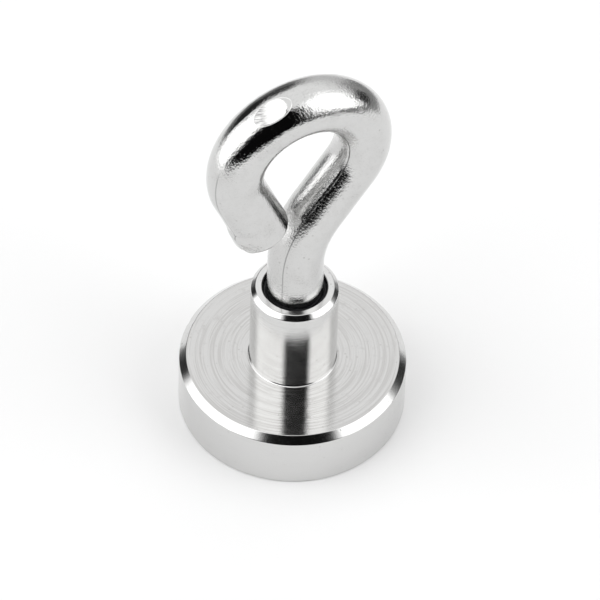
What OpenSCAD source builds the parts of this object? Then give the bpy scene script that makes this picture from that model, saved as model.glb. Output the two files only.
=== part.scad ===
// Magnet fishing magnet: a steel pot holds a neodymium disc in resin, a threaded bush is
// riveted through the pot's floor, and a bent rod with an eye screws into the bush.
// Millimetres. The origin is the centre of the magnetic face, and +Z points up to the eye.
// The eye is bent in the XZ plane, and its neck leans towards +X.

/* [Pot] */
// Outside diameter of the steel pot
pot_d = 16; // [15:0.5:20]
// Height of the pot, from its rim to its top face
pot_h = 4.5; // [4:0.1:6]
// Thickness of the pot's side wall
pot_wall = 1.2; // [0.9:0.1:1.4]
// Thickness of the pot's floor, which the bush is riveted through
pot_floor = 1.5; // [1.2:0.1:1.8]
// Turned chamfer around the pot's top edge
pot_edge = 0.5; // [0.2:0.05:0.8]

/* [Magnet] */
// Diameter of the magnet disc
magnet_d = 12; // [11:0.25:12.5]
// Thickness of the glue between the magnet and the pot's floor
glue_t = 0.1; // [0.05:0.05:0.2]
// How far the resin lies below the magnetic face
resin_recess = 0.12; // [0.05:0.01:0.3]

/* [Bush] */
// Outside diameter of the bush above the pot
bush_d = 6.15; // [6:0.05:7]
// Height of the bush above the pot's top face
bush_h = 7.3; // [7:0.1:9]
// Chamfer around the bush's top edge
bush_edge = 0.33; // [0.1:0.01:0.35]
// Diameter of the counterbore in the bush's mouth
mouth_d = 4.55; // [4.45:0.05:4.7]
// Depth of the counterbore in the bush's mouth
mouth_depth = 0.9; // [0.8:0.1:1.2]
// Diameter of the spigot that passes through the pot's floor
spigot_d = 5.2; // [5:0.1:5.4]
// How far the spigot's riveted end flares into its countersink
rivet_flare = 0.35; // [0.2:0.05:0.4]

/* [Thread] */
// Nominal diameter of the thread
thread_d = 4; // [3.8:0.1:4]
// Rise of the thread in one turn
thread_pitch = 0.7; // [0.65:0.05:0.8]
// Turns of thread on the eye's shank
thread_turns = 8.5; // [6:0.5:8.5]

/* [Eye] */
// Diameter of the bent rod
rod_d = 3.95; // [3.9:0.05:4.1]
// Radius of the eye, at the middle of the rod
eye_r = 4.82; // [4.7:0.02:5.6]
// Height of the eye's centre above the bush
eye_rise = 13.55; // [13:0.05:16]
// Angle between the neck's straight part and the vertical
neck_lean = 35.5; // [30:0.5:38]
// Radius of the neck's bend, at the middle of the rod
neck_r = 8; // [6:0.25:9]
// Angle between the free end's straight part and the vertical
tail_lean = 22; // [15:0.5:24]
// Length of the free end's straight part
tail_l = 4.65; // [2:0.05:4.7]

/* [Hidden] */
$fn = 96;
pot_r = pot_d / 2;
cup_r = pot_r - pot_wall;
magnet_r = magnet_d / 2;
bush_r = bush_d / 2;
mouth_r = mouth_d / 2;
spigot_r = spigot_d / 2;
rod_r = rod_d / 2;

// Heights
floor_z = pot_h - pot_floor;
magnet_top = floor_z - glue_t;
bush_top = pot_h + bush_h;
mouth_floor = bush_top - mouth_depth;
eye_z = bush_top + eye_rise;

// The straight lengths of the rod are a hair thinner than its bends, and run a little way
// into them, so that each joint is a clean circle
straight_step = 0.012;
straight_r = rod_r - straight_step;
overlap = 0.1;

// Small edge breaks
rim_edge = 0.15;
cup_edge = 0.1;
magnet_edge = 0.2;
mouth_edge = 0.1;
shank_edge = 0.3;
tail_edge = 0.12;

// The 60 degree thread. Its crests and flanks stay clear of the mating thread.
thread_steps = 24;
fade_steps = 6;
fade_least = 0.05;
crest_gap = 0.06;
flank_gap = 0.07;
flank_angle = 30;
thread_sink = 0.08;

// Metric thread depths below the nominal radius, as shares of the pitch
pitch_depth = 0.32476;
shank_depth = 0.61343;
bore_depth = 0.54127;
root_gap = 0.01;
bore_gap = 0.02;
pitch_r = thread_d / 2 - pitch_depth * thread_pitch;
shank_crest_r = thread_d / 2 - crest_gap;
shank_root_r = thread_d / 2 - shank_depth * thread_pitch - root_gap;
bore_crest_r = thread_d / 2 - bore_depth * thread_pitch + bore_gap;
bore_root_r = thread_d / 2 + bore_gap;

// Both ridges end half a pitch below the counterbore. The bush's ridge is half a pitch out of
// step with the shank's, and starts more turns below it.
shank_first_z = mouth_floor - (thread_turns + 0.5) * thread_pitch;
turns_below = floor((shank_first_z - floor_z) / thread_pitch);
bore_first_z = shank_first_z + (0.5 - turns_below) * thread_pitch;
bore_turns = thread_turns + turns_below - 0.5;
shank_end_z = shank_first_z - thread_pitch / 2;

// The plain rod starts just above the counterbore's floor, with a short cone below it
collar_lift = 0.05;
collar_z = mouth_floor + collar_lift;
collar_cone = 0.15;

// The thread-lock compound round the rod, in the counterbore
lock_lift = 0.08;
lock_z = mouth_floor + lock_lift;
lock_h = 0.42;
lock_edge = 0.06;
lock_rod_gap = 0.02;
lock_mouth_gap = 0.05;
lock_in_r = rod_r + lock_rod_gap;
lock_out_r = mouth_r - lock_mouth_gap;

// The eye's path: up the axis, round the neck's bend, along the lean, and round the eye
lean_end = [eye_r * cos(neck_lean), eye_z - eye_r * sin(neck_lean)];
lean_l = (lean_end[0] - neck_r * (1 - cos(neck_lean))) / sin(neck_lean);
neck_z = lean_end[1] - lean_l * cos(neck_lean) - neck_r * sin(neck_lean);

// A solid turned about Z from [radius, height] points
module turned(outline) {
    rotate_extrude() polygon(outline);
}

// A helical ridge that sinks a little into the wall at base_r, and fades out at both ends
module thread_ridge(base_r, crest_r, first_z, turns) {
    out = crest_r > base_r ? 1 : -1;
    root_r = base_r - out * thread_sink;
    count = round(turns * thread_steps);
    function half_width(r) =
        thread_pitch / 4 - flank_gap / 2 - out * (r - pitch_r) * tan(flank_angle);
    function fade(i) = max(fade_least, min(1, i / fade_steps, (count - i) / fade_steps));
    function section(i) = let (top_r = root_r + (crest_r - root_r) * fade(i))
        [[root_r, -half_width(root_r)], [top_r, -half_width(crest_r)],
         [top_r, half_width(crest_r)], [root_r, half_width(root_r)]];
    // outward-facing sides are listed the same way round on both kinds of ridge
    function ordered(s) = out > 0 ? s : [s[1], s[0], s[3], s[2]];
    function placed(i) = let (turn = i / thread_steps, a = 360 * turn, z = first_z + thread_pitch * turn)
        [for (p = ordered(section(i))) [p[0] * cos(a), p[0] * sin(a), z + p[1]]];
    points = [for (i = [0:count]) each placed(i)];
    sides = [for (i = [0:count - 1], k = [0:3])
        let (a = 4 * i + k, b = 4 * i + (k + 1) % 4)
        each [[a, b, b + 4], [a, b + 4, a + 4]]];
    last = 4 * count;
    ends = [[0, 3, 2], [0, 2, 1], [last, last + 1, last + 2], [last, last + 2, last + 3]];
    polyhedron(points, concat(sides, ends));
}

// A straight length of the rod along Z, from one height to another, with a chamfer at its top
module rod(from, to, edge = 0) {
    turned([
        [0, from], [straight_r, from], [straight_r, to - edge], [straight_r - edge, to], [0, to]]);
}

// A bend of the rod in the XZ plane, from one angle to another, counted from +X towards +Z
module bend(radius, from, to) {
    rotate([90, 0, 0]) rotate([0, 0, from])
        rotate_extrude(angle = to - from) translate([radius, 0]) circle(r = rod_r);
}

module pot_shell() {
    color("silver") turned([
        [cup_r + cup_edge, 0], [pot_r - rim_edge, 0], [pot_r, rim_edge],
        [pot_r, pot_h - pot_edge], [pot_r - pot_edge, pot_h], [spigot_r, pot_h],
        [spigot_r, floor_z + rivet_flare], [spigot_r + rivet_flare, floor_z],
        [cup_r, floor_z], [cup_r, cup_edge]]);
}

module threaded_bush() {
    color("gainsboro") union() {
        turned([
            [bore_root_r, floor_z], [spigot_r + rivet_flare, floor_z],
            [spigot_r, floor_z + rivet_flare], [spigot_r, pot_h], [bush_r, pot_h],
            [bush_r, bush_top - bush_edge], [bush_r - bush_edge, bush_top],
            [mouth_r + mouth_edge, bush_top], [mouth_r, bush_top - mouth_edge],
            [mouth_r, mouth_floor], [bore_root_r, mouth_floor]]);
        thread_ridge(bore_root_r, bore_crest_r, bore_first_z, bore_turns);
    }
}

module magnet_disc() {
    color("lightgray") turned([
        [0, 0], [magnet_r - magnet_edge, 0], [magnet_r, magnet_edge],
        [magnet_r, magnet_top - magnet_edge], [magnet_r - magnet_edge, magnet_top],
        [0, magnet_top]]);
}

module magnet_glue() {
    color("beige") turned([
        [bore_root_r, magnet_top], [magnet_r - magnet_edge, magnet_top],
        [magnet_r - magnet_edge, floor_z], [bore_root_r, floor_z]]);
}

module resin_ring() {
    color("dimgray") turned([
        [magnet_r, max(resin_recess, magnet_edge)],
        [magnet_r - magnet_edge + resin_recess, resin_recess],
        [cup_r, resin_recess], [cup_r, floor_z], [magnet_r - magnet_edge, floor_z],
        [magnet_r - magnet_edge, magnet_top], [magnet_r, magnet_top - magnet_edge]]);
}

module thread_lock_ring() {
    color("darkslateblue") translate([0, 0, lock_z]) turned([
        [lock_in_r, 0], [lock_out_r, 0], [lock_out_r, lock_h - lock_edge],
        [lock_out_r - lock_edge, lock_h], [lock_in_r, lock_h]]);
}

module screw_eye() {
    color("silver") union() {
        // threaded shank, and the plain rod up to the neck
        turned([
            [0, shank_end_z], [shank_root_r - shank_edge, shank_end_z],
            [shank_root_r, shank_end_z + shank_edge], [shank_root_r, collar_z - collar_cone],
            [straight_r, collar_z], [straight_r, neck_z + overlap], [0, neck_z + overlap]]);
        thread_ridge(shank_root_r, shank_crest_r, shank_first_z, thread_turns);
        // neck
        translate([neck_r, 0, neck_z]) bend(neck_r, 180 - neck_lean, 180);
        translate([lean_end[0], 0, lean_end[1]]) rotate([0, neck_lean, 0])
            rod(-lean_l - overlap, overlap);
        // eye and its free end
        translate([0, 0, eye_z]) bend(eye_r, -neck_lean, 180 + tail_lean);
        translate([0, 0, eye_z]) rotate([0, 180 - tail_lean, 0])
            translate([eye_r, 0, 0]) rod(-overlap, tail_l, tail_edge);
    }
}

pot_shell();
threaded_bush();
magnet_disc();
magnet_glue();
resin_ring();
thread_lock_ring();
screw_eye();
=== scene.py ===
"""The looks of a magnet fishing magnet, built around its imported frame.

Everything is in metres. The origin is the centre of the magnetic face, and +Z points up to the
eye, which is bent in the XZ plane. New pieces are surfaces worked out as whole arrays.
"""

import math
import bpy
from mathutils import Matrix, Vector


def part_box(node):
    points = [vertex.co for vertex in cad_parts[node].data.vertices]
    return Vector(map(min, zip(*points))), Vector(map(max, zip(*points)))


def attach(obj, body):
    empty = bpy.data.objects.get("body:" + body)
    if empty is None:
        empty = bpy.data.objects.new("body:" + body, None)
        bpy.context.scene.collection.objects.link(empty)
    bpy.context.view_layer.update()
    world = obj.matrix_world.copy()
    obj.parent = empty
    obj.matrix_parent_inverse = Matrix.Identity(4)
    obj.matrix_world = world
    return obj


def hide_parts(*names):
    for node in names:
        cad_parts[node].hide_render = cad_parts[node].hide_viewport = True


bl_info = {
    "name": "Magnet Fishing Magnet",
    "version": (1, 0, 0),
    "blender": (4, 5, 0),
    "location": "View3D > Sidebar > Magnet",
    "description": "Builds a small pot magnet with a threaded bush and a bent screw eye",
    "category": "Object",
}

from collections import namedtuple

import bpy
import numpy as np
from mathutils import Quaternion, Vector

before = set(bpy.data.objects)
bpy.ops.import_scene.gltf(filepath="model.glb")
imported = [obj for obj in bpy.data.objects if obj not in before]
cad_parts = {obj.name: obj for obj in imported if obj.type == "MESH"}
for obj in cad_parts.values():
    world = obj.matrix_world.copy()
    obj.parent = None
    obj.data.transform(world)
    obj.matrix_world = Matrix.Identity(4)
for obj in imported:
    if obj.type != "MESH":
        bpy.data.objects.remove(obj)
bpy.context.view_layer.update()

MM = 0.001
UM = 0.000001


def plain(box):
    """A box's two corners as plain lists of numbers."""
    return [[float(value) for value in corner] for corner in box]


POT_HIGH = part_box("pot_shell")[1]
BUSH_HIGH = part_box("threaded_bush")[1]
MAGNET_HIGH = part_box("magnet_disc")[1]
RESIN_LOW, RESIN_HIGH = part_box("resin_ring")
LOCK_LOW, LOCK_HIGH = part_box("thread_lock_ring")
EYE_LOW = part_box("screw_eye")[0]


# ---------------------------------------------------------------- settings


def length(name, text, default, low=0.0, high=0.05):
    """A length property in metres."""
    return bpy.props.FloatProperty(
        name=name, description=text, default=default, min=low, max=high,
        precision=5, subtype="DISTANCE", unit="LENGTH")


def angle(name, text, degrees):
    """An angle property, given here in degrees."""
    return bpy.props.FloatProperty(
        name=name, description=text, default=math.radians(degrees),
        subtype="ANGLE", unit="ROTATION")


def share(name, text, default, high=1.0):
    """A plain number from 0 up to high."""
    return bpy.props.FloatProperty(
        name=name, description=text, default=default, min=0.0, max=high, precision=3)


def group(kind, name, text):
    """A pointer to one group of settings."""
    return bpy.props.PointerProperty(name=name, description=text, type=kind)


def colour(name, text, default):
    """A linear colour property."""
    return bpy.props.FloatVectorProperty(
        name=name, description=text, default=default, min=0.0, max=1.0, size=3, subtype="COLOR")


class PotSizes(bpy.types.PropertyGroup):
    radius: length("Radius", "Outside radius of the steel pot", POT_HIGH.x)
    height: length("Height", "Height of the pot's top face", POT_HIGH.z)
    cup_radius: length("Cup radius", "Radius of the space that holds the magnet", RESIN_HIGH.x)
    floor: length("Floor height", "Height of the underside of the pot's floor", RESIN_HIGH.z)
    chamfer: length("Chamfer", "Width of the turned chamfer round the top edge", 0.5 * MM)
    rim_edge: length("Rim edge", "Radius of the rim's outer edge", 0.12 * MM)
    groove: length("Groove depth", "Depth of the turning marks on the top face", 0.9 * UM)


class MagnetSizes(bpy.types.PropertyGroup):
    radius: length("Radius", "Radius of the magnet disc", MAGNET_HIGH.x)
    thickness: length("Thickness", "Thickness of the magnet disc", MAGNET_HIGH.z)
    edge: length("Edge", "Radius of the magnet's edges", 0.2 * MM)
    resin_recess: length("Resin recess", "How far the resin lies below the face", RESIN_LOW.z)
    resin_sag: length("Resin sag", "How far the resin's face sinks between its edges", 0.1 * MM)


class BushSizes(bpy.types.PropertyGroup):
    radius: length("Radius", "Outside radius of the bush", 3.075 * MM)
    top: length("Top", "Height of the bush's top face", BUSH_HIGH.z)
    edge: length("Edge", "Chamfer round the bush's top edge", 0.33 * MM)
    mouth_radius: length("Mouth radius", "Radius of the counterbore", 2.275 * MM)
    mouth_depth: length("Mouth depth", "Depth of the counterbore", 0.9 * MM)
    spigot_radius: length("Spigot radius", "Radius of the part inside the pot's floor", 2.6 * MM)
    flare: length("Flare", "Flare of the spigot's riveted end", 0.35 * MM)


class EyeSizes(bpy.types.PropertyGroup):
    rod_radius: length("Rod radius", "Radius of the bent rod", 1.975 * MM)
    radius: length("Eye radius", "Radius of the eye at the middle of the rod", 4.82 * MM)
    centre: length("Eye height", "Height of the eye's centre", 25.35 * MM)
    neck_radius: length("Neck radius", "Radius of the neck's bend", 8.0 * MM)
    neck_lean: angle("Neck lean", "Lean of the neck's straight part", 35.5)
    tail_lean: angle("Tail lean", "Lean of the free end", 22.0)
    tail: length("Tail", "Length of the free end's straight part", 4.65 * MM)
    shank_end: length("Shank end", "Height of the shank's lower end", EYE_LOW.z)
    burr: length("Burr", "How far the sheared end's lip stands proud", 0.15 * MM)


class ThreadSizes(bpy.types.PropertyGroup):
    pitch: length("Pitch", "Rise of the thread in one turn", 0.7 * MM)
    shank_root: length("Shank root", "Radius at the bottom of the shank's thread", 1.561 * MM)
    shank_crest: length("Shank crest", "Radius over the shank's crests", 1.94 * MM)
    shank_start: length("Shank start", "Height of the shank's first crest", 4.6 * MM)
    bore_root: length("Bore root", "Radius at the bottom of the bush's thread", 2.02 * MM)
    bore_crest: length("Bore crest", "Radius inside the bush's crests", 1.641 * MM)
    bore_start: length("Bore start", "Height of the bush's first crest", 3.55 * MM)


class Finishes(bpy.types.PropertyGroup):
    rod: colour("Rod", "Nickel plate on the bent rod", (0.64, 0.64, 0.635))
    pot: colour("Pot", "Nickel plate on the pot", (0.69, 0.69, 0.685))
    bush: colour("Bush", "Nickel plate on the bush", (0.70, 0.70, 0.695))
    magnet: colour("Magnet", "Plating on the magnet disc", (0.62, 0.62, 0.61))
    resin: colour("Resin", "Cast resin round the magnet", (0.022, 0.022, 0.025))
    glue: colour("Glue", "Cured glue above the magnet", (0.56, 0.47, 0.30))
    # nearly black: the thread lock's colour is painted shade for the dark gap round the rod
    lock: colour("Thread lock", "Cured compound in the bush's mouth", (0.006, 0.006, 0.008))
    # tarnish is real dull plate in pits and spots, and on the pot's top face it also carries
    # painted shade
    tarnish: colour("Tarnish", "Dull plate in pits and corners", (0.42, 0.41, 0.40))


class StageSettings(bpy.types.PropertyGroup):
    sky: share("Sky", "Brightness of the white tent overhead", 1.9, 5.0)
    low_sky: share("Low sky", "Brightness below the horizon, past the paper's edge", 1.05, 5.0)
    back_sky: share("Back of the tent", "Brightness of the tent's shaded back", 0.98, 5.0)
    flag: share("Flags", "Brightness of the dark flags that edge the metal", 0.004, 1.0)
    paper: share("Paper", "Share of light that the white paper returns", 0.92)
    paper_radius: length("Paper radius", "Radius of the white paper", 85 * MM, 0.05, 1.0)
    lens: bpy.props.FloatProperty(
        name="Lens", description="Focal length of the camera", default=417.0, min=20.0, max=900.0,
        subtype="DISTANCE_CAMERA", unit="CAMERA")
    view_turn: angle("Turn", "Where the camera stands round the magnet", -27.0)
    view_rise: angle("Rise", "How high the camera looks down from", 49.357)
    view_roll: angle("Roll", "Tilt of the camera about its own line of sight", 1.887)
    distance: length("Distance", "From the camera to the point it looks at", 483.8 * MM, 0.1, 5.0)
    aim: bpy.props.FloatVectorProperty(
        name="Aim", description="The point that the camera looks at", size=3,
        default=(0.341 * MM, -0.174 * MM, 10.262 * MM), subtype="XYZ", unit="LENGTH", precision=5)


class MagnetSettings(bpy.types.PropertyGroup):
    pot: group(PotSizes, "Pot", "Sizes of the pot")
    magnet: group(MagnetSizes, "Magnet", "Sizes of the magnet and its resin")
    bush: group(BushSizes, "Bush", "Sizes of the bush")
    eye: group(EyeSizes, "Eye", "Sizes of the eye")
    thread: group(ThreadSizes, "Thread", "Sizes of the thread")
    finish: group(Finishes, "Finishes", "Colours of the metals and resins")
    stage: group(StageSettings, "Stage", "Floor, light and camera")


def settings():
    """The scene's settings for the magnet."""
    return bpy.context.scene.magnet_settings


# ---------------------------------------------------------------- surfaces


def smooth(low, high, value):
    """0 up to low, 1 from high, and 3t^2 - 2t^3 between them."""
    t = np.clip((value - low) / (high - low), 0.0, 1.0)
    return t * t * (3.0 - 2.0 * t)


def bump(value, centre, width):
    """A bell: exp(-((value - centre) / width)^2)."""
    return np.exp(-(((value - centre) / width) ** 2))


def turn_to(angle_array, centre):
    """The signed angle from centre to each angle, between -pi and pi."""
    return (angle_array - centre + np.pi) % (2 * np.pi) - np.pi


def circle(radius, around):
    """The x and y of a point at radius from Z, turned by around from +X."""
    return [radius * np.cos(around), radius * np.sin(around)]


def unit(vector):
    """The vector at length 1."""
    return np.asarray(vector) / np.linalg.norm(vector)


def waves(seed, coordinates, size, count=24):
    """Smooth unevenness between about -1 and 1: the scaled sum of count sines, each along a
    random direction of the coordinates, with wavelengths of 0.6 to 1.8 times size."""
    rng = np.random.default_rng(seed)
    total = 0.0
    for _ in range(count):
        direction = rng.normal(size=len(coordinates))
        direction *= 2 * np.pi / (np.linalg.norm(direction) * size * rng.uniform(0.6, 1.8))
        phase = sum(d * c for d, c in zip(direction, coordinates))
        total = total + np.sin(phase + rng.uniform(0, 2 * np.pi))
    return total * math.sqrt(2.0 / count) * 0.6


def rounded(corners, rounding=0.0, closed=True, spacing=0.2 * MM, steps=6, support=0.02 * MM):
    """An outline of (radius, height) rows through corners, with round corners and close rows.

    A corner is a radius and a height, and may add a rounding of its own. The corner at P
    between unit directions a and b to its neighbours turns by an angle t. Its arc has its
    centre at P + (a + b)/|a + b| * rounding / cos(t/2), and runs between the two points
    P + a * reach and P + b * reach, where reach is rounding * tan(t/2). Straight lengths get a
    row at support from each end, and rows no further apart than spacing.
    """
    points = np.array([corner[:2] for corner in corners], float)
    radii = [corner[2] if len(corner) > 2 else rounding for corner in corners]
    parts = []
    for i, (corner, radius) in enumerate(zip(points, radii)):
        if radius <= 0 or (not closed and i in (0, len(points) - 1)):
            parts.append(corner[None])
            continue
        back, on = points[i - 1] - corner, points[(i + 1) % len(points)] - corner
        back, on = unit(back), unit(on)
        turn = np.pi - math.acos(float(np.clip(back @ on, -1, 1)))
        reach = radius * math.tan(turn / 2)
        middle = unit(back + on) * radius / math.cos(turn / 2)
        first, last = back * reach - middle, on * reach - middle
        t = np.linspace(0, 1, steps + 1)[:, None]
        arc = (np.sin((1 - t) * turn) * first + np.sin(t * turn) * last) / math.sin(turn)
        parts.append(corner + middle + arc)
    line = np.concatenate(parts + ([parts[0][:1]] if closed else []))
    far = np.r_[0, np.cumsum(np.linalg.norm(np.diff(line, axis=0), axis=1))]
    gaps = np.diff(far)
    extra = [np.linspace(a, a + g, int(np.ceil(g / spacing)) + 1)
             for a, g in zip(far[:-1], gaps) if g > spacing]
    extra += [np.array([a + support, a + g - support])
              for a, g in zip(far[:-1], gaps) if g > 4 * support]
    rows = np.unique(np.round(np.concatenate([far] + extra), 9))
    if closed:
        rows = rows[:-1]
    return np.stack([np.interp(rows, far, line[:, k]) for k in (0, 1)], axis=1)


def skin(name, grid, closed_rows=False, first_pole=None, last_pole=None, zones=None, uv=None):
    """A closed mesh from a grid of points, grid[row, column], whose columns go right round.

    Face (i, j) joins rows i, i + 1 and columns j, j + 1. Rows close on themselves, or end in
    a fan round a pole. The mesh is turned to face outwards: the sum over its triangles of
    a . (b x c) is positive. zones gives the material of each row of faces. uv gives the
    turn of each column, with the first one again at the end, and the distance of each row.
    """
    rows, columns = grid.shape[:2]
    points = grid.reshape(-1, 3)
    index = np.arange(rows * columns).reshape(rows, columns)
    lower = index if closed_rows else index[:-1]
    upper = np.roll(index, -1, axis=0) if closed_rows else index[1:]
    quads = np.stack([lower, np.roll(lower, -1, 1), np.roll(upper, -1, 1), upper], axis=-1)
    zone = np.zeros(len(quads), int) if zones is None else np.asarray(zones)[:len(quads)]
    faces, materials, maps = [quads.reshape(-1, 4)], [np.repeat(zone, columns)], []
    if uv is not None:
        turn, far = uv
        pairs = np.stack([turn[:-1], turn[1:]], axis=-1)
        u = np.concatenate([pairs, pairs[:, ::-1]], axis=1)[None, :, :]
        v = np.stack([far[:-1], far[:-1], far[1:], far[1:]], axis=-1)[:, None, :]
        maps.append(np.stack(np.broadcast_arrays(u, v), axis=-1).reshape(-1, 4, 2))
    for pole, row, order in ((first_pole, 0, -1), (last_pole, -1, 1)):
        if pole is None:
            continue
        ring = np.stack([index[row], np.roll(index[row], -1)], axis=-1)[:, ::order]
        faces.append(np.column_stack([np.full(columns, len(points)), ring]))
        points = np.vstack([points, pole])
        materials.append(np.full(columns, zone[row]))
        if uv is not None:
            u = np.column_stack([pairs.mean(axis=1), pairs[:, ::order]])
            maps.append(np.stack([u, np.full_like(u, far[row])], axis=-1))
    corners = points[np.concatenate([faces[0][:, [0, 2, 3]]] + [f[:, :3] for f in faces])]
    if np.einsum("ij,ij->", corners[:, 0], np.cross(corners[:, 1], corners[:, 2])) < 0:
        faces, maps = [f[:, ::-1] for f in faces], [m[:, ::-1] for m in maps]
    mesh = bpy.data.meshes.new(name)
    mesh.from_pydata(points.tolist(), [], [face for f in faces for face in f.tolist()])
    mesh.polygons.foreach_set("material_index", np.concatenate(materials).astype(np.int32))
    mesh.polygons.foreach_set("use_smooth", np.ones(len(mesh.polygons), bool))
    if maps:
        flat = np.concatenate([m.reshape(-1) for m in maps]).astype(np.float32)
        mesh.uv_layers.new(name="rod").data.foreach_set("uv", flat)
    mesh.validate()
    mesh.update()
    piece = bpy.data.objects.new(name, mesh)
    bpy.context.scene.collection.objects.link(piece)
    return piece


def turned(name, outline, closed=True, columns=192, first_pole=None, last_pole=None, zones=None,
           shape=None):
    """An outline carried round Z: each of its points (r, z) goes to (r cos a, r sin a, z) at
    the angles a. shape may change radius and height, as arrays over rows and angles."""
    angles = np.linspace(0, 2 * np.pi, columns, endpoint=False)[None, :]
    radius = np.repeat(outline[:, :1], columns, axis=1)
    height = np.repeat(outline[:, 1:], columns, axis=1)
    if shape is not None:
        radius, height = shape(radius, height, angles)
    grid = np.stack([*circle(radius, angles), height], axis=-1)
    return skin(name, grid, closed, first_pole, last_pole, zones)


def thread_wave(z, around, start, thread):
    """How near each point is to the crest of the thread, from 0 on the root to 1 on the crest.

    The crest runs along z = start + pitch * angle / 2 pi. A point's distance along the axis
    to the nearest crest, over the pitch, is from 0 to 0.5. The 60 degree flanks rise from
    foot to shoulder, in shares of the pitch.
    """
    foot, shoulder = 0.36, 0.10
    away = ((z - start) / thread.pitch - around / (2 * np.pi)) % 1.0
    away = np.minimum(away, 1.0 - away)
    return np.clip((foot - away) / (foot - shoulder), 0.0, 1.0)


def place(piece, body, slot, materials, *nodes):
    """Gives a piece its materials and its body, and hides the CAD nodes that it replaces. slot is
    not used.
    """
    for material in materials:
        piece.data.materials.append(material)
    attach(piece, body)
    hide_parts(*nodes)


# ---------------------------------------------------------------- materials


def node(tree, kind, inputs=None, **values):
    """One node. An input given a socket is linked to it, and any other is set."""
    made = tree.nodes.new(kind)
    for key, value in values.items():
        setattr(made, key, value)
    for key, value in (inputs or {}).items():
        if isinstance(value, bpy.types.NodeSocket):
            tree.links.new(value, made.inputs[key])
        else:
            made.inputs[key].default_value = value
    return made


def calc(tree, operation, *values):
    """The result of one Math node."""
    return node(tree, "ShaderNodeMath", dict(enumerate(values)), operation=operation).outputs[0]


def times(tree, first, second):
    """The product of two numbers."""
    return calc(tree, "MULTIPLY", first, second)


def step(tree, value, low, high, to_low=0.0, to_high=1.0):
    """A smooth step from to_low, where value is low, to to_high, where it is high."""
    return node(tree, "ShaderNodeMapRange", {
        "Value": value, "From Min": low, "From Max": high, "To Min": to_low, "To Max": to_high,
    }, interpolation_type="SMOOTHSTEP").outputs["Result"]


def noise(tree, vector, size, detail=2.0, roughness=0.5):
    """Noise with features about size across, from 0 to 1."""
    return node(tree, "ShaderNodeTexNoise", {
        "Vector": vector, "Scale": 1.0 / size, "Detail": detail, "Roughness": roughness,
    }).outputs[0]


def blend(tree, factor, first, second):
    """Two colours mixed: the first where factor is 0, and the second where it is 1."""
    first, second = (value if isinstance(value, bpy.types.NodeSocket) else (*value, 1.0)
                     for value in (first, second))
    return node(tree, "ShaderNodeMix", {0: factor, 6: first, 7: second},
                data_type="RGBA").outputs[2]


def mixed(tree, factor, first, second):
    """Two numbers mixed: the first where factor is 0, and the second where it is 1."""
    return node(tree, "ShaderNodeMix", {0: factor, 2: first, 3: second}).outputs[0]


def raised(tree, height, depth, below=None):
    """A bump whose height, from 0 to 1, stands for depth metres."""
    inputs = {"Height": height, "Distance": depth, "Strength": 1.0}
    if below is not None:
        inputs["Normal"] = below
    return node(tree, "ShaderNodeBump", inputs).outputs["Normal"]


def without(tree, mask):
    """1 where the mask is 0, and 0 where it is 1."""
    return calc(tree, "SUBTRACT", 1.0, mask)


def sunk(tree, mask, depth, below):
    """A bump that goes in by depth metres where the mask is 1."""
    return raised(tree, without(tree, mask), depth, below)


def new_material(name, base):
    """A material with an empty tree, shown in the viewport in its base colour."""
    made = bpy.data.materials.new(name)
    made.use_nodes = True
    made.node_tree.nodes.clear()
    made.diffuse_color = (*base, 1.0)
    return made, made.node_tree


def shaded(tree, **inputs):
    """Adds the Principled shader, with these inputs, and the tree's output."""
    shader = node(tree, "ShaderNodeBsdfPrincipled",
                  {key.replace("_", " "): value for key, value in inputs.items()})
    node(tree, "ShaderNodeOutputMaterial", {"Surface": shader.outputs[0]})


def along(tree, vector, direction):
    """How far the vector goes along a direction: their dot product."""
    return node(tree, "ShaderNodeVectorMath", {0: vector, 1: tuple(direction)},
                operation="DOT_PRODUCT").outputs["Value"]


def ring_vector(tree, spot, ring):
    """A seamless vector for marks that run round Z: the direction from the axis, at length
    ring, and along Z the radius plus the height."""
    parts = node(tree, "ShaderNodeSeparateXYZ", {0: spot}).outputs
    flat = node(tree, "ShaderNodeCombineXYZ", {0: parts[0], 1: parts[1]}).outputs[0]
    radius = node(tree, "ShaderNodeVectorMath", {0: flat}, operation="LENGTH").outputs["Value"]
    outward = node(tree, "ShaderNodeVectorMath", {0: flat}, operation="NORMALIZE").outputs[0]
    spread = node(tree, "ShaderNodeVectorMath", {0: outward, "Scale": ring},
                  operation="SCALE").outputs[0]
    lift = node(tree, "ShaderNodeCombineXYZ", {2: calc(tree, "ADD", radius, parts[2])}).outputs[0]
    return node(tree, "ShaderNodeVectorMath", {0: spread, 1: lift}, operation="ADD").outputs[0]


def scratches(tree, vector, size, thin, shift):
    """Sparse hairline scratches, from 0 to 1: thin ridges of a noise that is stretched along
    one slanted direction, kept only where a coarser noise is high. shift, in metres, gives
    each set a place and a slant of its own."""
    slanted = node(tree, "ShaderNodeMapping", {
        "Vector": vector, "Location": (shift, 0.7 * shift, 0.0),
        "Rotation": (360 * shift, 0.3, 0.9 + 400 * shift),
        "Scale": (1.0, 0.06, 0.35)}).outputs[0]
    from_middle = calc(tree, "SUBTRACT", noise(tree, slanted, size, 3.0, 0.6), 0.5)
    line = step(tree, calc(tree, "ABSOLUTE", from_middle), 0.0, thin, 1.0, 0.0)
    where = step(tree, noise(tree, vector, size * 6, 1.0), 0.52, 0.68)
    return times(tree, line, where)


def pits(tree, vector, size, amount):
    """Small round pits, 1 at their middle, in this amount of all cells that are size across."""
    cells = node(tree, "ShaderNodeTexVoronoi", {
        "Vector": vector, "Scale": 1.0 / size, "Randomness": 1.0}, feature="F1")
    deep = step(tree, cells.outputs["Distance"], 0.08, 0.3, 1.0, 0.0)
    chosen = node(tree, "ShaderNodeSeparateXYZ", {0: cells.outputs["Color"]}).outputs[0]
    return times(tree, deep, calc(tree, "LESS_THAN", chosen, amount))


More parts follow.
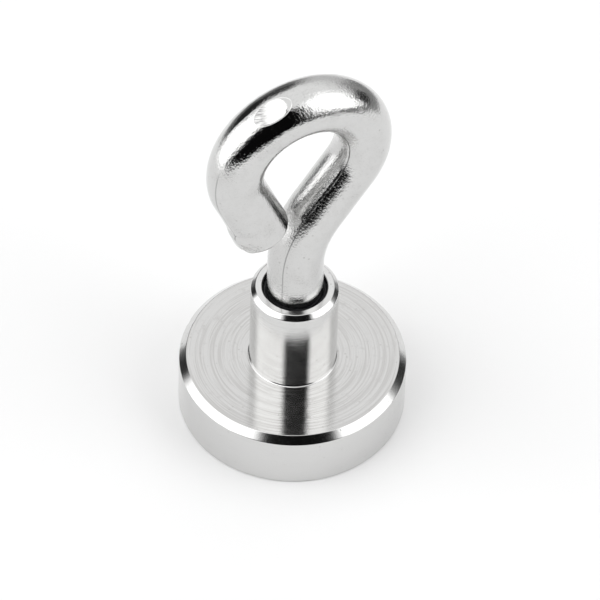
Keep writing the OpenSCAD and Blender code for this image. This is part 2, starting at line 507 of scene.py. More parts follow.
def plated(name, base, tarnish, roughness, peel, grain, lines=None, anisotropy=0.0, wear_and_shade=0.1):
    """Bright plate over worked metal: slow orange peel, fine grain, pits, hairline scratches and
    dull spots, with turning marks round Z where lines gives their depth and spacing. peel and
    grain are depths. The last argument is how far the dull spots and turning marks go towards
    tarnish: real wear, and on the pot's top face also painted shade that darkens the whole face."""
    made, tree = new_material(name, base)
    spot = node(tree, "ShaderNodeTexCoord").outputs["Object"]
    dull = step(tree, noise(tree, spot, 0.7 * MM, 5.0, 0.7), 0.42, 0.75)
    pit = pits(tree, spot, 0.33 * MM, 0.10)
    hair = scratches(tree, spot, 0.8 * MM, 0.005, 0.0021)
    normal = raised(tree, noise(tree, spot, 0.55 * MM, 2.0), peel)
    normal = raised(tree, noise(tree, spot, 0.13 * MM, 3.0, 0.6), grain, normal)
    normal = sunk(tree, pit, 2.5 * UM, normal)
    normal = sunk(tree, hair, 0.8 * UM, normal)
    rough = calc(tree, "MULTIPLY_ADD", dull, 0.04, roughness)
    rough = calc(tree, "MULTIPLY_ADD", hair, 0.15, rough)
    extra = {}
    if lines is not None:
        depth, spacing = lines
        fine = noise(tree, ring_vector(tree, spot, 0.9 * spacing), spacing, 3.0, 0.65)
        coarse = noise(tree, ring_vector(tree, spot, 3 * spacing), 6 * spacing, 2.0)
        normal = raised(tree, fine, depth, normal)
        rough = calc(tree, "MULTIPLY_ADD", coarse, 0.04, rough)
        rings = step(tree, fine, 0.42, 0.62)
        # every turned face is dulled at least 0.4 of the way; on the pot's top face, with its large
        # wear share, this even darkening is painted shade, while the rings on it are real turning
        # marks
        dull = calc(tree, "MAXIMUM", dull, calc(tree, "MULTIPLY_ADD", rings, 0.6, 0.4))
    if anisotropy:
        extra = {"Anisotropic": anisotropy, "Anisotropic_Rotation": 0.25, "Tangent": node(
            tree, "ShaderNodeTangent", direction_type="RADIAL", axis="Z").outputs[0]}
    # dull spots and turning marks pulled towards tarnish: wear, and on the pot's top face painted
    # shade
    tint = blend(tree, times(tree, dull, wear_and_shade), base, tarnish)
    tint = blend(tree, times(tree, pit, 0.5), tint, tarnish)
    shaded(tree, Base_Color=tint, Metallic=1.0, Roughness=rough, Normal=normal, **extra)
    return made


Seam = namedtuple("Seam", "turn width darkness first last")
Mark = namedtuple("Mark", "centre normal tail lift")


def mark_masks(tree, spot, mark):
    """The flat mark, the dragged part along its tail, and the noise of the tail's streaks.

    A point is on the mark where it is within 16 to 32 micrometres of its plane, which lies at
    lift along the normal from the centre.
    """
    offset = node(tree, "ShaderNodeVectorMath", {0: spot, 1: tuple(mark.centre)},
                  operation="SUBTRACT").outputs[0]
    above = calc(tree, "SUBTRACT", along(tree, offset, mark.normal), mark.lift)
    flat = step(tree, calc(tree, "ABSOLUTE", above), 16 * UM, 32 * UM, 1.0, 0.0)
    down_tail = along(tree, offset, mark.tail)
    streak = noise(tree, node(tree, "ShaderNodeCombineXYZ", {
        0: times(tree, down_tail, 0.1),
        1: along(tree, offset, np.cross(mark.normal, mark.tail))}).outputs[0], 0.06 * MM, 3.0, 0.6)
    dragged = times(tree, flat, step(tree, down_tail, 0.05 * MM, 0.75 * MM))
    return flat, dragged, streak


def seam_dirt(tree, tint, seams, on_rod, wrapped):
    """Thin lines of dirt, patchy along their length, laid over the tint. Each runs at its turn
    round the rod, from first to last along it, in millimetres."""
    dirty = (0.06, 0.06, 0.06)
    fade = 1.5
    for seam in seams:
        gap = calc(tree, "ABSOLUTE", calc(tree, "SUBTRACT", on_rod[0], seam.turn))
        patchy = step(tree, noise(tree, wrapped, 0.9, 2.0), 0.35, 0.6, 0.35, 1.0)
        stretch = times(tree, step(tree, on_rod[1], seam.first - fade, seam.first),
                        step(tree, on_rod[1], seam.last, seam.last + fade, 1.0, 0.0))
        line = step(tree, gap, 0.3 * seam.width, seam.width, seam.darkness, 0.0)
        tint = blend(tree, times(tree, times(tree, line, patchy), stretch), tint, dirty)
    return tint


def rod_plate(name, base, tarnish, seams, mark):
    """Bright plate over drawn wire: as plated metal, with draw lines that follow the rod, and
    rougher on the side that faces the eye's hole. The rod's own map gives the turn around it
    and the distance along it in millimetres. The flat mark is smooth, but for its streaks."""
    made, tree = new_material(name, base)
    spot = node(tree, "ShaderNodeTexCoord").outputs["Object"]
    on_rod = node(tree, "ShaderNodeSeparateXYZ", {
        0: node(tree, "ShaderNodeUVMap", uv_map="rod").outputs[0]}).outputs
    turn = times(tree, on_rod[0], 2 * math.pi)
    wrapped = node(tree, "ShaderNodeCombineXYZ", {
        0: times(tree, calc(tree, "COSINE", turn), 2.0),
        1: times(tree, calc(tree, "SINE", turn), 2.0),
        2: times(tree, on_rod[1], 0.035)}).outputs[0]
    flat, dragged, streak = mark_masks(tree, spot, mark)
    off_mark = without(tree, flat)
    dull = step(tree, noise(tree, spot, 2.2 * MM, 4.0, 0.6), 0.45, 0.7)
    inner = step(tree, calc(tree, "COSINE", turn), -0.45, -0.85)
    rugged = calc(tree, "MAXIMUM", dull, inner)
    pit = pits(tree, spot, 0.34 * MM, 0.06)
    hair = scratches(tree, spot, 0.6 * MM, 0.012, 0.0013)
    rubbed = scratches(tree, spot, 0.9 * MM, 0.02, 0.0037)

    normal = raised(tree, noise(tree, spot, 0.6 * MM, 2.0), 6.0 * UM)
    coarse = times(tree, noise(tree, spot, 0.15 * MM, 2.0, 0.6),
                   calc(tree, "MULTIPLY_ADD", rugged, 0.8, 0.7))
    normal = raised(tree, times(tree, coarse, off_mark), 17.0 * UM, normal)
    normal = raised(tree, times(tree, streak, dragged), 9.0 * UM, normal)
    drawn = noise(tree, wrapped, 0.07, 3.0, 0.6)
    bands = step(tree, noise(tree, wrapped, 0.45, 2.0), 0.45, 0.65)
    bands = times(tree, bands, off_mark)
    normal = raised(tree, times(tree, drawn, bands), 5.0 * UM, normal)
    normal = sunk(tree, pit, 3.0 * UM, normal)
    normal = sunk(tree, calc(tree, "MAXIMUM", hair, rubbed), 1.0 * UM, normal)

    rough = calc(tree, "MULTIPLY_ADD", rugged, 0.07, 0.05)
    rough = calc(tree, "MULTIPLY_ADD", rubbed, 0.12, rough)

    grime = (0.2, 0.2, 0.2)
    cloud = step(tree, noise(tree, spot, 0.7 * MM, 4.0, 0.7), 0.45, 0.72)
    clouded = times(tree, calc(tree, "MAXIMUM", rugged, cloud), 0.16)
    tint = blend(tree, clouded, base, tarnish)
    tint = blend(tree, times(tree, pit, 0.85), tint, tarnish)
    freckle = step(tree, noise(tree, spot, 0.12 * MM, 3.0, 0.7), 0.52, 0.72)
    freckle = times(tree, freckle, calc(tree, "MULTIPLY_ADD", rugged, 0.25, 0.12))
    tint = blend(tree, times(tree, freckle, off_mark), tint, grime)
    worn = times(tree, dragged, step(tree, streak, 0.35, 0.62, 0.15, 0.9))
    tint = blend(tree, worn, tint, grime)
    tint = seam_dirt(tree, tint, seams, on_rod, wrapped)
    shaded(tree, Base_Color=tint, Metallic=1.0, Roughness=rough, Normal=normal)
    return made


def cast(name, base, roughness, size, depth, speck):
    """Cured resin, glue or compound: soft unevenness of the given size and depth, bubbles four
    times as deep, and clouds of the speck's colour."""
    made, tree = new_material(name, base)
    spot = node(tree, "ShaderNodeTexCoord").outputs["Object"]
    cloud = noise(tree, spot, 3 * size, 3.0)
    bubble = pits(tree, spot, size, 0.25)
    normal = raised(tree, noise(tree, spot, size, 3.0), depth)
    normal = sunk(tree, bubble, 4 * depth, normal)
    tint = blend(tree, step(tree, cloud, 0.35, 0.75, 0.0, 0.35), base, speck)
    rough = calc(tree, "MULTIPLY_ADD", cloud, 0.2, roughness)
    shaded(tree, Base_Color=tint, Roughness=rough, Normal=normal)
    return made


# ---------------------------------------------------------------- pieces


class MAGNET_OT_pot(bpy.types.Operator):
    """Steel pot: a turned cup with a chamfered top edge and fine turning marks"""
    bl_idname = "magnet.pot"
    bl_label = "Pot"

    # dents in the chamfer: degrees round, millimetres deep, and how far in from the square
    # corner, in widths of the chamfer
    nicks = ((-152, 0.030, 1.0), (-66, 0.018, 1.1), (-12, 0.025, 0.9), (48, 0.02, 1.0),
             (131, 0.03, 1.1), (196, 0.02, 1.0))

    def execute(self, context):
        chosen = settings()
        sizes, ink = chosen.pot, chosen.finish
        spigot, flare = chosen.bush.spigot_radius, chosen.bush.flare
        outline = rounded([
            (sizes.cup_radius, 0.0, 0.08 * MM), (sizes.radius, 0.0, sizes.rim_edge),
            (sizes.radius, sizes.height - sizes.chamfer, 0.1 * MM),
            (sizes.radius - sizes.chamfer, sizes.height, 0.07 * MM),
            (spigot, sizes.height), (spigot, sizes.floor + flare),
            (spigot + flare, sizes.floor), (sizes.cup_radius, sizes.floor, 0.1 * MM)],
            spacing=0.05 * MM)

        def shape(radius, height, around):
            """The top face sinks by groove times the waves of a seeded unevenness of the radius
            alone, plus a slower one that also turns; nicks dent the chamfer."""
            face = smooth(-0.01 * MM, 0.0, height - sizes.height + 0.002 * MM)
            face = face * smooth(-0.02 * MM, 0.1 * MM, sizes.radius - sizes.chamfer - radius)
            marks = 0.75 * waves(3, [radius], 0.11 * MM) + 0.6 * waves(
                5, [radius, *circle(3 * MM, around)], 0.3 * MM)
            corner = sizes.radius + sizes.height
            dents = sum(
                depth * bump(turn_to(around, np.radians(at)), 0, 0.03)
                * bump(radius + height, corner - sizes.chamfer * inset, 0.12 * MM)
                for at, depth, inset in self.nicks) * MM
            return radius - dents, height + face * sizes.groove * (marks - 1.2) - dents

        r, z = outline[:, 0], outline[:, 1]
        near = 0.02 * MM
        chamfer_radius, chamfer_foot = sizes.radius - sizes.chamfer, sizes.height - sizes.chamfer
        on_top = (z > sizes.height - near) & (r < chamfer_radius + near)
        on_edge = (z > chamfer_foot - near) & (r > chamfer_radius) & ~on_top
        on_rim = (z < sizes.floor + flare + near) & (r < sizes.radius - 1.2 * sizes.rim_edge)
        zones = np.select([on_top, on_edge, on_rim], [0, 1, 3], 2)
        piece = turned("pot", outline, columns=224, zones=zones, shape=shape)
        place(piece, "magnet_base", "plated_pot", [
            # the top face: its large wear share darkens the whole face towards tarnish, painted
            # shade that keeps it darker than the pot's side; its rings are real turning marks
            plated("pot top, turned, painted shade", ink.pot, ink.tarnish, roughness=0.07, peel=1.0 * UM,
                   grain=1.0 * UM, lines=(5.0 * UM, 0.13 * MM), anisotropy=0.8, wear_and_shade=0.55),
            plated("pot chamfer", ink.pot, ink.tarnish, roughness=0.09, peel=1.5 * UM,
                   grain=1.2 * UM, lines=(1.2 * UM, 0.05 * MM)),
            plated("pot side", ink.pot, ink.tarnish, roughness=0.16, peel=2.0 * UM,
                   grain=1.2 * UM, lines=(0.8 * UM, 0.05 * MM)),
            plated("pot rim, ground", ink.pot, ink.tarnish, roughness=0.22, peel=0.4 * UM,
                   grain=0.4 * UM, lines=(0.8 * UM, 0.06 * MM)),
        ], "pot_shell")
        return {"FINISHED"}


class MAGNET_OT_disc(bpy.types.Operator):
    """Magnet disc: plated, with rounded edges and a rubbed face"""
    bl_idname = "magnet.disc"
    bl_label = "Magnet disc"

    def execute(self, context):
        sizes, ink = settings().magnet, settings().finish
        tip, dip = 0.05 * MM, 1.5 * UM
        outline = rounded([
            (tip, 0.0), (sizes.radius, 0.0), (sizes.radius, sizes.thickness),
            (tip, sizes.thickness)], sizes.edge, closed=False)

        def shape(radius, height, around):
            """The face sinks by dip on average, in slow waves over x and y."""
            dish = dip * (1 + waves(11, circle(radius, around), 2.5 * MM))
            return radius, np.where(height < 0.5 * sizes.thickness, height + dish, height)

        piece = turned("magnet_disc_plated", outline, closed=False, first_pole=(0, 0, dip),
                       last_pole=(0, 0, sizes.thickness), shape=shape)
        place(piece, "magnet_base", "magnet_plating", [
            plated("magnet plating", ink.magnet, ink.tarnish, roughness=0.2, peel=1.2 * UM,
                   grain=0.5 * UM, lines=(0.35 * UM, 0.09 * MM))], "magnet_disc")
        return {"FINISHED"}


class MAGNET_OT_resin(bpy.types.Operator):
    """Potting resin: fills the gap round the magnet and sags between its edges"""
    bl_idname = "magnet.resin"
    bl_label = "Potting resin"

    def execute(self, context):
        pot, sizes, ink = settings().pot, settings().magnet, settings().finish
        recess, inner = sizes.resin_recess, sizes.radius - sizes.edge
        outline = rounded([
            (inner + recess, recess), (pot.cup_radius, recess), (pot.cup_radius, pot.floor),
            (inner, pot.floor), (inner, sizes.thickness),
            (sizes.radius, sizes.thickness - sizes.edge), (sizes.radius, sizes.edge)],
            spacing=0.07 * MM)

        def shape(radius, height, around):
            """Across the gap, from t = 0 at the magnet to t = 1 at the pot, the face sinks by
            sag * 4 t (1 - t), uneven by a third round the ring."""
            t = np.clip((radius - inner) / (pot.cup_radius - inner), 0, 1)
            uneven = 1 + 0.33 * waves(17, circle(pot.cup_radius, around), 4 * MM)
            face = smooth(recess + 0.01 * MM, recess, height)
            return radius, height + face * sizes.resin_sag * 4 * t * (1 - t) * uneven

        piece = turned("resin_fill", outline, columns=160, shape=shape)
        place(piece, "magnet_base", "potting_resin", [
            cast("potting resin", ink.resin, roughness=0.16, size=0.25 * MM,
                 depth=1.5 * UM, speck=(0.06, 0.06, 0.065))],
            "resin_ring")
        return {"FINISHED"}


class MAGNET_OT_glue(bpy.types.Operator):
    """Glue: the thin film between the magnet and the pot's floor"""
    bl_idname = "magnet.glue"
    bl_label = "Glue"

    def execute(self, context):
        chosen = settings()
        inner, outer = chosen.thread.bore_root, chosen.magnet.radius - chosen.magnet.edge
        low, high = chosen.magnet.thickness, chosen.pot.floor
        outline = rounded([(inner, low), (outer, low), (outer, high), (inner, high)],
                          0.02 * MM, steps=3)
        piece = turned("glue_film", outline, columns=128)
        place(piece, "magnet_base", "glue", [
            cast("cured glue", chosen.finish.glue, roughness=0.35, size=0.3 * MM,
                 depth=1.0 * UM, speck=(0.66, 0.58, 0.42))],
            "magnet_glue")
        return {"FINISHED"}


class MAGNET_OT_bush(bpy.types.Operator):
    """Bush: turned, threaded inside, with a counterbore and a riveted spigot"""
    bl_idname = "magnet.bush"
    bl_label = "Threaded bush"

    def execute(self, context):
        chosen = settings()
        pot, sizes, thread, ink = chosen.pot, chosen.bush, chosen.thread, chosen.finish
        mouth_floor = sizes.top - sizes.mouth_depth
        outline = rounded([
            (thread.bore_root, pot.floor), (sizes.spigot_radius + sizes.flare, pot.floor),
            (sizes.spigot_radius, pot.floor + sizes.flare), (sizes.spigot_radius, pot.height),
            # the small ridge round the bush's foot
            (sizes.radius + 0.1 * MM, pot.height),
            (sizes.radius + 0.09 * MM, pot.height + 0.02 * MM, 0.01 * MM),
            (sizes.radius + 0.03 * MM, pot.height + 0.045 * MM, 0.02 * MM),
            (sizes.radius, pot.height + 0.13 * MM, 0.03 * MM),
            (sizes.radius, sizes.top - sizes.edge, 0.1 * MM),
            (sizes.radius - sizes.edge, sizes.top, 0.1 * MM),
            (sizes.mouth_radius, sizes.top, 0.1 * MM),
            (sizes.mouth_radius, mouth_floor, 0.05 * MM),
            (thread.bore_root, mouth_floor, 0.05 * MM)], spacing=0.06 * MM)

        def shape(radius, height, around):
            """On the bore, the radius goes from bore_root to bore_crest with the thread's wave,
            which fades over the last half turn at each end. Outside, turning marks go round."""
            mark = 0.4 * UM
            bore = smooth(thread.bore_root + 0.05 * MM, thread.bore_root + 0.01 * MM, radius)
            ends = smooth(pot.floor, pot.floor + 0.4 * MM, height) * smooth(
                mouth_floor - 0.02 * MM, mouth_floor - 0.4 * MM, height)
            crest = thread_wave(height, around, thread.bore_start, thread)
            marks = mark * waves(23, [height], 0.12 * MM)
            outside = smooth(sizes.radius - 0.05 * MM, sizes.radius, radius)
            return (radius + bore * ends * crest * (thread.bore_crest - thread.bore_root)
                    + outside * (marks - mark), height)

        r, z = outline[:, 0], outline[:, 1]
        on_top = z > sizes.top - 0.02 * MM
        inside = (r < sizes.mouth_radius + 0.02 * MM) & ~on_top
        zones = np.select([on_top, inside], [1, 2], 0)
        piece = turned("bush", outline, columns=160, zones=zones, shape=shape)
        place(piece, "magnet_base", "plated_bush", [
            plated("bush side, turned", ink.bush, ink.tarnish, roughness=0.09, peel=1.5 * UM,
                   grain=1.5 * UM, lines=(3.0 * UM, 0.1 * MM), anisotropy=0.8),
            plated("bush top", ink.bush, ink.tarnish, roughness=0.15, peel=0.4 * UM,
                   grain=0.25 * UM, lines=(0.5 * UM, 0.05 * MM)),
            plated("bush bore, cut", ink.bush, ink.tarnish, roughness=0.2, peel=0.6 * UM,
                   grain=0.5 * UM, lines=(0.6 * UM, 0.05 * MM)),
        ], "threaded_bush")
        return {"FINISHED"}


class MAGNET_OT_thread_lock(bpy.types.Operator):
    """Thread lock: the uneven fillet of compound in the bush's mouth, coloured nearly black as
    painted shade for the gap round the rod
    """
    bl_idname = "magnet.thread_lock"
    bl_label = "Thread lock"

    def execute(self, context):
        ink = settings().finish
        inner, outer = settings().eye.rod_radius + 0.02 * MM, LOCK_HIGH.x
        low, high = LOCK_LOW.z, LOCK_HIGH.z
        outline = rounded([(inner, low), (outer, low), (outer, high), (inner, high)],
                          0.05 * MM, spacing=0.03 * MM, steps=5)

        def shape(radius, height, around):
            """The top sinks between rod and bush by sag * 4 t (1 - t), and by up to sag more
            in slow waves round the ring."""
            sag = 0.1 * MM
            t = np.clip((radius - inner) / (outer - inner), 0, 1)
            lift = (height - low) / (high - low)
            slump = sag * 4 * t * (1 - t) + 0.5 * sag * (
                1.0 + waves(31, circle(2 * MM, around), 1.5 * MM))
            return radius, height - slump * smooth(0.3, 1.0, lift)

        piece = turned("thread_lock_fillet", outline, columns=144, shape=shape)
        place(piece, "thread_lock", "thread_lock", [
            # the compound's nearly black colour is painted shade in the bush's mouth
            cast("thread lock compound, painted shade", ink.lock, roughness=0.3, size=0.12 * MM,
                 depth=3 * UM, speck=(0.03, 0.03, 0.045))],
            "thread_lock_ring")
        return {"FINISHED"}


class MAGNET_OT_eye(bpy.types.Operator):
    """Screw eye: a drawn rod, threaded at one end and bent round to a closed eye"""
    bl_idname = "magnet.eye"
    bl_label = "Screw eye"

    # lines that the drawing die left: degrees round the rod, micrometres high, radians wide
    draw_lines = ((-143, -11.0, 0.028), (-147, 5.0, 0.022), (-23, -3.0, 0.03), (-27, 2.0, 0.04),
                  (172, 4.0, 0.035), (158, -4.0, 0.03), (6, 4.0, 0.04), (-62, 1.5, 0.05),
                  (118, 2.0, 0.04))

    # the length of the free end that the shears have squeezed
    sheared = 1.6 * MM

    # rings that close the rod: how much of the end ring's radius is left, and at the sheared
    # end how much of its bulge is reached
    foot_rings = (0.3, 0.7)
    cap_rings = ((0.93, 0.5), (0.8, 0.8), (0.55, 1.0), (0.25, 1.0))

    mark_dish = 0.012 * MM
    mark_radius = 0.98 * MM

    def mark(self):
        """The flat mark that the bending tool left: its centre, the way its plane faces, the
        way its tail runs in that plane, and how far along its normal the plane lies."""
        normal = unit((-0.348, -0.322, 0.880))
        tail = np.array((-0.901, 0.414, -0.136))
        return Mark(np.array((-2.494, -0.534, 31.618)) * MM, normal,
                    unit(tail - (tail @ normal) * normal), -0.15 * MM)

    def turns(self):
        """The columns' angles: 128 even ones, and closer ones across each deep draw line."""
        near = np.concatenate([np.radians(at) + width * np.linspace(-2.4, 2.4, 9)
                               for at, height, width in self.draw_lines if abs(height) > 3.5])
        even = np.linspace(0, 2 * np.pi, 128, endpoint=False)
        clear = np.abs(turn_to(even[:, None], near[None, :])).min(axis=1) > 0.018
        return np.sort(np.concatenate([even[clear], near % (2 * np.pi)]))[None, :]

    def path(self, sizes):
        """Rows along the rod's middle line: distance, position and heading.

        The heading, counted from +Z towards +X, is linear in the distance on each stretch: 0
        up the shank, to neck_lean round the neck, steady, back to -(180 + tail_lean) round
        the eye, and steady along the free end. Each step moves by its length times
        sin(x)/x, x being half its change of heading, along its middle heading, which is
        exact on a line and on an arc.
        """
        lean = sizes.neck_lean
        around = lean + math.pi + sizes.tail_lean
        lean_x = sizes.radius * math.cos(lean)
        lean_z = sizes.centre - sizes.radius * math.sin(lean)
        straight = (lean_x - sizes.neck_radius * (1 - math.cos(lean))) / math.sin(lean)
        neck_z = lean_z - straight * math.cos(lean) - sizes.neck_radius * math.sin(lean)
        collar = LOCK_LOW.z - sizes.shank_end
        lengths = [collar, neck_z - sizes.shank_end - collar, sizes.neck_radius * lean, straight,
                   sizes.radius * around, sizes.tail]
        headings = np.array([0.0, 0.0, 0.0, lean, lean, lean - around, lean - around])
        knots = np.r_[0, np.cumsum(lengths)]
        spacings = [0.045 * MM] + [0.088 * MM] * 5
        rows = np.concatenate([
            np.linspace(a, b, int(round((b - a) / gap)), endpoint=False)
            for a, b, gap in zip(knots[:-1], knots[1:], spacings)] + [knots[-1:]])
        heading = np.interp(rows, knots, headings)
        step_length, bend = np.diff(rows), np.diff(heading) / 2
        middle = heading[:-1] + bend
        chord = step_length * np.sinc(bend / np.pi)
        x = np.r_[0, np.cumsum(chord * np.sin(middle))]
        z = sizes.shank_end + np.r_[0, np.cumsum(chord * np.cos(middle))]
        return rows, x, z, heading, knots

    def radii(self, rows, z, around, knots, sizes, thread):
        """The rod's radius at each row and angle: the threaded shank, the short cone above it,
        and the plain rod with draw ridges, slow waves, a sheared end and its burr."""
        end = rows[-1] - rows[:, None]
        root = thread.shank_root - 0.3 * MM * smooth(0.3 * MM, 0.0, rows)[:, None]
        crest = thread_wave(z[:, None], around, thread.shank_start, thread)
        crest = crest * smooth(0.1 * MM, 0.5 * MM, rows[:, None]) * smooth(
            knots[1] - 0.15 * MM, knots[1] - 0.5 * MM, rows[:, None])
        shank = root + crest * (thread.shank_crest - thread.shank_root)
        drift = 0.02 * np.sin(rows[:, None] / (4 * MM)) + 0.012 * np.sin(rows[:, None] / (1.3 * MM))
        ridges = UM * sum(
            height * bump(turn_to(around - drift, np.radians(at)), 0, width)
            for at, height, width in self.draw_lines)
        flow = [rows[:, None], *circle(2 * MM, around)]
        slow = 3.5 * UM * waves(41, flow, 3.2 * MM) + 1.0 * UM * waves(43, flow, 1.0 * MM)
        plain = sizes.rod_radius - 4 * UM + ridges + slow
        outer = bump(turn_to(around, -0.35), 0, 0.75)
        squeezed = smooth(self.sheared + 0.12 * MM, self.sheared + 0.02 * MM, end)
        lip = sizes.burr * outer * squeezed * (0.8 + 0.2 * waves(47, flow, 0.8 * MM))
        swell = 0.05 * MM * bump(turn_to(around, -0.6), 0, 0.9) * smooth(2.6 * MM, 0.9 * MM, end)
        worn = -0.1 * MM * (1 - np.sqrt(1 - smooth(0.14 * MM, 0.0, end) ** 2 * 0.96))
        plain = plain + lip + swell + worn
        return shank + (plain - shank) * smooth(
            knots[1] - 0.2 * MM, knots[1] - 0.03 * MM, rows)[:, None]

    def marked(self, grid, mark):
        """The grid with the flat mark. A point that stands out past the mark's plane moves back
        along its normal, to a shallow dish. The mark ends in a half circle, and runs out along
        its tail, where its plane leaves the rod."""
        offset = grid - mark.centre
        out = offset @ mark.normal - mark.lift
        on_plane = offset - out[..., None] * mark.normal
        down_tail = (on_plane @ mark.tail)[..., None]
        past_end = np.minimum(down_tail, 0) * mark.tail
        beside = on_plane - down_tail * mark.tail
        reach = np.linalg.norm(past_end + beside, axis=-1)
        near = np.linalg.norm(offset, axis=-1) < 2.2 * MM
        hollow = self.mark_dish * np.clip(1 - (reach / (1.1 * MM)) ** 2, 0, 1)
        sink = np.maximum(out, 0) + hollow * smooth(0, 10 * UM, out)
        sink = sink * near * smooth(self.mark_radius, self.mark_radius - 0.1 * MM, reach)
        return grid - sink[..., None] * mark.normal

    def execute(self, context):
        sizes, thread, ink = settings().eye, settings().thread, settings().finish
        rows, x, z, heading, knots = self.path(sizes)
        around = self.turns()
        radius = self.radii(rows, z, around, knots, sizes, thread)
        outward = np.stack([np.cos(heading), 0 * heading, -np.sin(heading)], axis=-1)[:, None, :]
        sideways = np.array([0.0, 1.0, 0.0])
        middle = np.stack([x, 0 * x, z], axis=-1)[:, None, :]
        across = np.cos(around)[..., None] * outward + np.sin(around)[..., None] * sideways
        mark = self.mark()
        grid = self.marked(middle + radius[..., None] * across, mark)
        bulge = 0.03 * MM * np.array([math.sin(heading[-1]), 0, math.cos(heading[-1])])
        foot = [grid[0] * left + middle[0] * (1 - left) for left in self.foot_rings]
        cap = [grid[-1] * left + middle[-1] * (1 - left) + bulge * out
               for left, out in self.cap_rings]
        grid = np.concatenate([np.array(foot), grid, np.array(cap)])
        far = np.concatenate([[rows[0]] * len(foot), rows, [rows[-1]] * len(cap)]) / MM
        turn = np.r_[around[0], around[0, 0] + 2 * np.pi] / (2 * np.pi)
        piece = skin("screw_eye_plated", grid, first_pole=middle[0, 0],
                     last_pole=middle[-1, 0] + bulge, uv=(turn, far))
        end = (rows[-1] - self.sheared) / MM
        seams = (Seam(turn=217 / 360, width=0.005, darkness=0.75, first=0.0, last=end),
                 Seam(turn=337 / 360, width=0.006, darkness=0.55, first=end - 5.4, last=end))
        place(piece, "eye", "plated_rod", [
            rod_plate("rod plate", ink.rod, ink.tarnish, seams, mark)], "screw_eye")
        return {"FINISHED"}


# ---------------------------------------------------------------- stage


Flag = namedtuple("Flag", "brightness amount sides slants heights soft")


def flags(stage):
    """What is dark in the tent, each over the ones before it: its brightness, how much it
    hides, its sides, how far each side moves for a degree of rise, its lower and upper
    edges, and half the widths over which its sides, lower edge and upper edge fade."""
    black = stage.flag
    return (
        # a grey band under the horizon on the right, and two grey cards at the back
        Flag(0.12, 0.95, (44, 162), (0, 0), (-14, -1), (6, 4, 3)),
        Flag(0.16, 0.93, (-174, -106), (0, -0.3), (-13, 28), (8, 5, 6)),
        Flag(0.30, 0.85, (101, 152), (0, 0), (-40, 22), (5, 4, 5)),
        # black flags at the back, two on the left and one on the right
        Flag(black, 0.9, (-150, -113), (0, 0), (0, 29), (5, 4, 5)),
        Flag(black, 0.8, (-168, -147), (0, 0), (6, 36), (4, 5, 6)),
        Flag(black, 0.9, (98, 130), (0, 0), (-4, 12), (4, 3, 3)),
        # the tall one on the camera's side, which the turned faces show as a dark column
        Flag(black, 1.0, (-53, 49), (0.6, -0.1), (-13, 61), (8, 4, 5)))


def masked(tree, flag, side, rise):
    """How much a flag hides in each direction, from 0 outside it to its amount inside."""
    left, right = (calc(tree, "MULTIPLY_ADD", rise, slant, at)
                   for slant, at in zip(flag.slants, flag.sides))
    low, high = flag.heights
    soft_side, soft_low, soft_high = flag.soft
    past_left, past_right = (
        step(tree, calc(tree, "SUBTRACT", first, second), -soft_side, soft_side)
        for first, second in ((side, left), (right, side)))
    tall = times(tree, step(tree, rise, low - soft_low, low + soft_low),
                 step(tree, rise, high - soft_high, high + soft_high, 1.0, 0.0))
    inside = times(tree, past_left, past_right)
    return times(tree, times(tree, inside, tall), flag.amount)


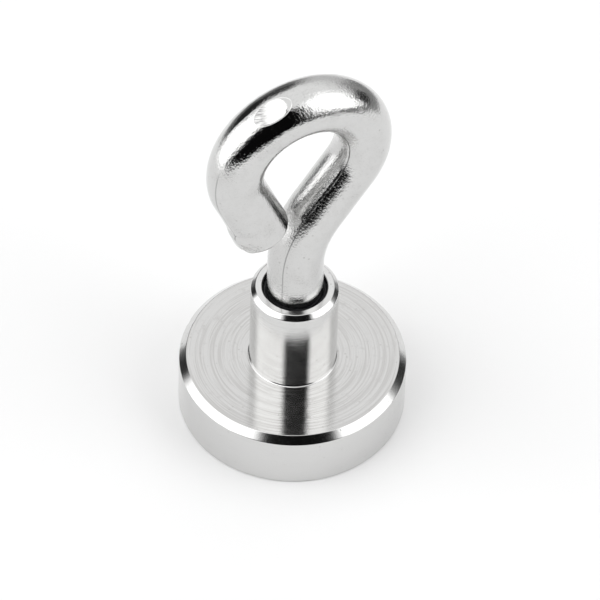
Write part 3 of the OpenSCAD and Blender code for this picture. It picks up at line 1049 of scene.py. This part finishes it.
class MAGNET_OT_stage(bpy.types.Operator):
    """Stage: white paper, a white light tent with dark flags, and the camera"""
    bl_idname = "magnet.stage"
    bl_label = "Stage"

    def execute(self, context):
        stage = settings().stage
        self.paper(stage)
        self.light(stage)
        self.camera(stage)
        context.scene.view_settings.view_transform = "Standard"
        return {"FINISHED"}

    def paper(self, stage):
        """A flat ring of paper just under the pot, with a hole in its middle. Its rows are at
        r = hole + (paper_radius - hole) t^2, for even steps of t."""
        hole, rows, columns = 7.5 * MM, 40, 96
        t = np.linspace(0, 1, rows)[:, None]
        radius = hole + (stage.paper_radius - hole) * t ** 2
        around = np.linspace(0, 2 * np.pi, columns, endpoint=False)[None, :]
        grid = np.stack(np.broadcast_arrays(*circle(radius, around), -2 * UM), axis=-1)
        index = np.arange(rows * columns).reshape(rows, columns)
        inner, outer = index[:-1], index[1:]
        quads = np.stack([inner, outer, np.roll(outer, -1, 1), np.roll(inner, -1, 1)], axis=-1)
        mesh = bpy.data.meshes.new("paper")
        mesh.from_pydata(grid.reshape(-1, 3).tolist(), [], quads.reshape(-1, 4).tolist())
        made, tree = new_material("white paper", (0.9, 0.9, 0.9))
        tone = (stage.paper, stage.paper, stage.paper, 1.0)
        front = node(tree, "ShaderNodeBsdfDiffuse", {"Color": tone}).outputs[0]
        clear = node(tree, "ShaderNodeBsdfTransparent").outputs[0]
        back = node(tree, "ShaderNodeNewGeometry").outputs["Backfacing"]
        mixed = node(tree, "ShaderNodeMixShader", {0: back, 1: front, 2: clear}).outputs[0]
        node(tree, "ShaderNodeOutputMaterial", {"Surface": mixed})
        mesh.materials.append(made)
        paper = bpy.data.objects.new("paper", mesh)
        bpy.context.scene.collection.objects.link(paper)

    def light(self, stage):
        """The tent as brightness by direction. Its angles are degrees round from the camera's
        side, positive to the right, and degrees above the horizon."""
        world = bpy.data.worlds.new("light tent")
        bpy.context.scene.world = world
        world.use_nodes = True
        tree = world.node_tree
        tree.nodes.clear()
        seen = node(tree, "ShaderNodeTexCoord").outputs["Generated"]
        from_camera = node(tree, "ShaderNodeVectorRotate", {
            "Vector": seen, "Angle": -stage.view_turn}, rotation_type="Z_AXIS").outputs[0]
        part = node(tree, "ShaderNodeSeparateXYZ", {0: from_camera}).outputs
        degrees = 180 / math.pi
        front = times(tree, part[1], -1.0)
        side = times(tree, calc(tree, "ARCTAN2", part[0], front), degrees)
        rise = times(tree, calc(tree, "ARCSINE", part[2]), degrees)

        # the shaded back gets brighter as it rises, and reaches over the top to an edge that is
        # 78 degrees up on the left and 60 on the right
        far = step(tree, calc(tree, "ABSOLUTE", side), 98, 124)
        edge = step(tree, side, -5, 20, 78, 60)
        over = step(tree, calc(tree, "SUBTRACT", rise, edge), -7, 7)
        back = calc(tree, "MAXIMUM", far, over)
        shade = step(tree, rise, 8, 52, 0.72 * stage.back_sky, 1.10 * stage.back_sky)
        tone = mixed(tree, back, stage.sky, shade)
        tone = mixed(tree, step(tree, rise, -17, -12), stage.low_sky, tone)
        for flag in flags(stage):
            tone = mixed(tree, masked(tree, flag, side, rise), tone, flag.brightness)
        backdrop = 1.2
        direct = node(tree, "ShaderNodeLightPath").outputs["Is Camera Ray"]
        tone = mixed(tree, direct, tone, backdrop)
        glow = node(tree, "ShaderNodeBackground", {"Color": tone}).outputs[0]
        node(tree, "ShaderNodeOutputWorld", {"Surface": glow})

    def camera(self, stage):
        """The camera stands at distance from its aim, turned and raised as set, and looks at
        it."""
        turn, rise = stage.view_turn, stage.view_rise
        away = Vector((math.sin(turn) * math.cos(rise), -math.cos(turn) * math.cos(rise),
                       math.sin(rise)))
        data = bpy.data.cameras.new("camera")
        data.lens, data.sensor_width = stage.lens, 36.0
        data.clip_start, data.clip_end = 0.01, 10.0
        camera = bpy.data.objects.new("camera", data)
        camera.location = Vector(stage.aim) + away * stage.distance
        camera.rotation_mode = "QUATERNION"
        camera.rotation_quaternion = (
            (-away).to_track_quat("-Z", "Y") @ Quaternion((0, 0, 1), stage.view_roll))
        bpy.context.scene.collection.objects.link(camera)
        bpy.context.scene.camera = camera


OPERATORS = (
    MAGNET_OT_stage, MAGNET_OT_pot, MAGNET_OT_disc, MAGNET_OT_resin, MAGNET_OT_glue,
    MAGNET_OT_bush, MAGNET_OT_thread_lock, MAGNET_OT_eye)


class MAGNET_PT_build(bpy.types.Panel):
    """Builds each piece of the magnet, and lists the sizes and colours"""
    bl_label = "Magnet"
    bl_idname = "MAGNET_PT_build"
    bl_space_type = "VIEW_3D"
    bl_region_type = "UI"
    bl_category = "Magnet"

    def draw(self, context):
        column = self.layout.column()
        for operator in OPERATORS:
            column.operator(operator.bl_idname)
        groups = context.scene.magnet_settings
        for name in groups.bl_rna.properties.keys():
            group = getattr(groups, name)
            if isinstance(group, bpy.types.PropertyGroup):
                box = self.layout.box()
                box.label(text=groups.bl_rna.properties[name].name)
                for key in group.__annotations__:
                    box.prop(group, key)


CLASSES = (PotSizes, MagnetSizes, BushSizes, EyeSizes, ThreadSizes, Finishes, StageSettings,
           MagnetSettings, *OPERATORS, MAGNET_PT_build)


def register():
    for cls in CLASSES:
        bpy.utils.register_class(cls)
    bpy.types.Scene.magnet_settings = bpy.props.PointerProperty(
        name="Magnet", description="Sizes and colours of the magnet", type=MagnetSettings)


def unregister():
    del bpy.types.Scene.magnet_settings
    for cls in reversed(CLASSES):
        bpy.utils.unregister_class(cls)


def main():
    register()
    bpy.ops.magnet.stage()
    bpy.ops.magnet.pot()
    bpy.ops.magnet.disc()
    bpy.ops.magnet.resin()
    bpy.ops.magnet.glue()
    bpy.ops.magnet.bush()
    bpy.ops.magnet.thread_lock()
    bpy.ops.magnet.eye()


if __name__ == "__main__":
    main()
